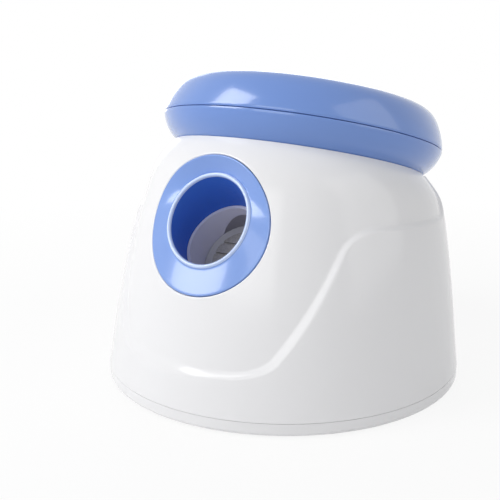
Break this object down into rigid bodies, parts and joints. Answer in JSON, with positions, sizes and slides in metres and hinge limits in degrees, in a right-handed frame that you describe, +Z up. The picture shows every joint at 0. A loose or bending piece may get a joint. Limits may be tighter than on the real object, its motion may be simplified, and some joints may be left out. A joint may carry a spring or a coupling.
{
  "type": "automatic dog ball launcher",
  "caption": "Round-bodied electric ball launcher: a bowl-topped funnel drops small tennis balls into an angled barrel, where a geared spring plunger throws them out of the front mouth.",
  "frame": {"origin": "on the floor under the middle of the round base", "axes": "+Z up, the ball leaves towards -Y, +X to the right of someone who looks along +Y"},
  "size_m": [0.2644, 0.2644, 0.2255],
  "materials": {
    "body_white": "glossy",
    "lid_blue": "satin",
    "bezel_blue": "satin",
    "inner_grey": "satin",
    "acetal_white": "satin",
    "dark_plastic": "satin",
    "rubber_black": "matte",
    "pad_rubber": "matte",
    "steel": "satin",
    "zinc": "satin",
    "brass": "satin",
    "board_green": "satin",
    "cell_wrap": "satin",
    "lens_clear": "glossy",
    "panel_grey": "satin",
    "motor_steel": "satin"
  },
  "bodies": {
    "housing": {"base_pan": "body_white", "body_shell": "body_white", "rubber_feet": "rubber_black", "lid_collar": "lid_blue", "lid_funnel": "lid_blue", "nozzle_bezel": "bezel_blue", "launch_barrel": "inner_grey", "drop_chute": "inner_grey", "main_spring": "steel", "spring_seat": "inner_grey", "gear_pins": "steel", "shaft_collars": "acetal_white", "motor": "motor_steel", "gearbox_inner_plate": "zinc", "gearbox_outer_plate": "zinc", "gearbox_standoffs": "brass", "motor_screws": "zinc", "battery_cells": "cell_wrap", "battery_contacts": "zinc", "control_panel": "panel_grey", "led_lenses": "lens_clear", "rocker_housing": "dark_plastic", "dc_jack": "dark_plastic", "control_board": "board_green", "board_parts": "dark_plastic", "board_posts": "panel_grey", "ball_switch": "dark_plastic", "base_screws": "zinc", "lid_screws": "zinc", "gearbox_screws": "zinc", "board_screws": "zinc"},
    "plunger": {"plunger_head": "acetal_white", "plunger_pad": "pad_rubber", "rack_bar": "acetal_white", "rack_screws": "zinc"},
    "sector": {"sector_gear": "acetal_white", "output_gear": "acetal_white", "output_shaft": "steel"},
    "second_stage": {"second_gear": "acetal_white"},
    "first_stage": {"first_gear": "acetal_white"},
    "rotor": {"motor_pinion": "brass", "motor_shaft": "steel"},
    "ball_sense_lever": {"switch_lever": "zinc"},
    "button": {"distance_button": "lid_blue"},
    "rocker": {"power_rocker": "dark_plastic"},
    "bay_door": {"battery_door": "body_white"}
  },
  "joints": [
    {"name": "plunger_draw", "type": "slide", "parent": "housing", "child": "plunger", "axis": [0, 0.7193, -0.6947], "range_m": [0, 0.052], "stiffness_N_per_m": 400, "springref_m": -0.015, "deforming": ["main_spring"]},
    {"name": "sector_turn", "type": "hinge", "parent": "housing", "child": "sector", "pos_m": [0.045, 0.00416, 0.06772], "axis": [1, 0, 0], "range_deg": [0, 165.6]},
    {"name": "second_turn", "type": "hinge", "parent": "housing", "child": "second_stage", "pos_m": [0.05, 0.03235, 0.07798], "axis": [1, 0, 0], "range_deg": [-662.5, 0]},
    {"name": "first_turn", "type": "hinge", "parent": "housing", "child": "first_stage", "pos_m": [0.047, 0.0466, 0.10266], "axis": [1, 0, 0], "range_deg": [0, 2483.5]},
    {"name": "motor_turn", "type": "hinge", "parent": "housing", "child": "rotor", "pos_m": [0.044, 0.0663, 0.09919], "axis": [1, 0, 0], "range_deg": [-9933, 0]},
    {"name": "ball_sense", "type": "hinge", "parent": "housing", "child": "ball_sense_lever", "pos_m": [-0.0311, -0.00832, 0.14515], "axis": [0, 0.9063, -0.4226], "range_deg": [0, 20], "stiffness_Nm_per_rad": 0.01, "springref_deg": -17.19},
    {"name": "button_press", "type": "slide", "parent": "housing", "child": "button", "axis": [0, -1, 0], "range_m": [0, 0.002], "stiffness_N_per_m": 600, "springref_m": -0.001},
    {"name": "rocker_tip", "type": "hinge", "parent": "housing", "child": "rocker", "pos_m": [0.009, 0.1154, 0.05], "axis": [1, 0, 0], "range_deg": [0, 14]},
    {"name": "door_open", "type": "hinge", "parent": "housing", "child": "bay_door", "pos_m": [0, -0.09167, 0.0024], "axis": [-1, 0, 0], "range_deg": [0, 75]}
  ],
  "couplings": [
    {"joint": "sector_turn", "follows": "plunger_draw", "rad_per_m": 55.556},
    {"joint": "second_turn", "follows": "plunger_draw", "rad_per_m": -222.22},
    {"joint": "first_turn", "follows": "plunger_draw", "rad_per_m": 833.33},
    {"joint": "motor_turn", "follows": "plunger_draw", "rad_per_m": -3333.3}
  ]
}
